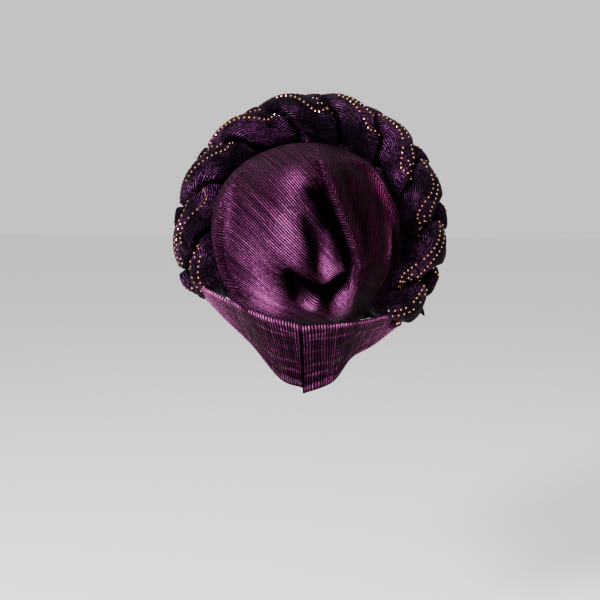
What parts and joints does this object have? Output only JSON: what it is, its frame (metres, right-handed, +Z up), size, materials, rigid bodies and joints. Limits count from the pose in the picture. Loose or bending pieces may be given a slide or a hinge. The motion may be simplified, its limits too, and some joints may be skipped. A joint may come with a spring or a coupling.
{
  "type": "tied gele head tie",
  "caption": "Ready-tied gele head tie: a gathered pleated crown open for the head, a two-panel nape band and a padded three-strand plait standing round it.",
  "frame": {"origin": "where the top of the wearer's head bears inside the crown", "axes": "+Z up out of the top of the head, -Y the way the wearer faces, +X to the wearer's left"},
  "size_m": [0.255, 0.2226, 0.2696],
  "materials": {
    "foil_cloth": "pleated magenta and wine foil print with a metallic sheen",
    "plait_cloth": "crinkled dark violet-black satin with a magenta sheen",
    "stud_metal": "small faceted copper-gold studs"
  },
  "bodies": {
    "root": {"crown": "foil_cloth", "nape_band_left": "foil_cloth", "nape_band_right": "foil_cloth", "plait_strand_1": "plait_cloth", "plait_strand_2": "plait_cloth", "plait_strand_3": "plait_cloth"}
  },
  "joints": []
}
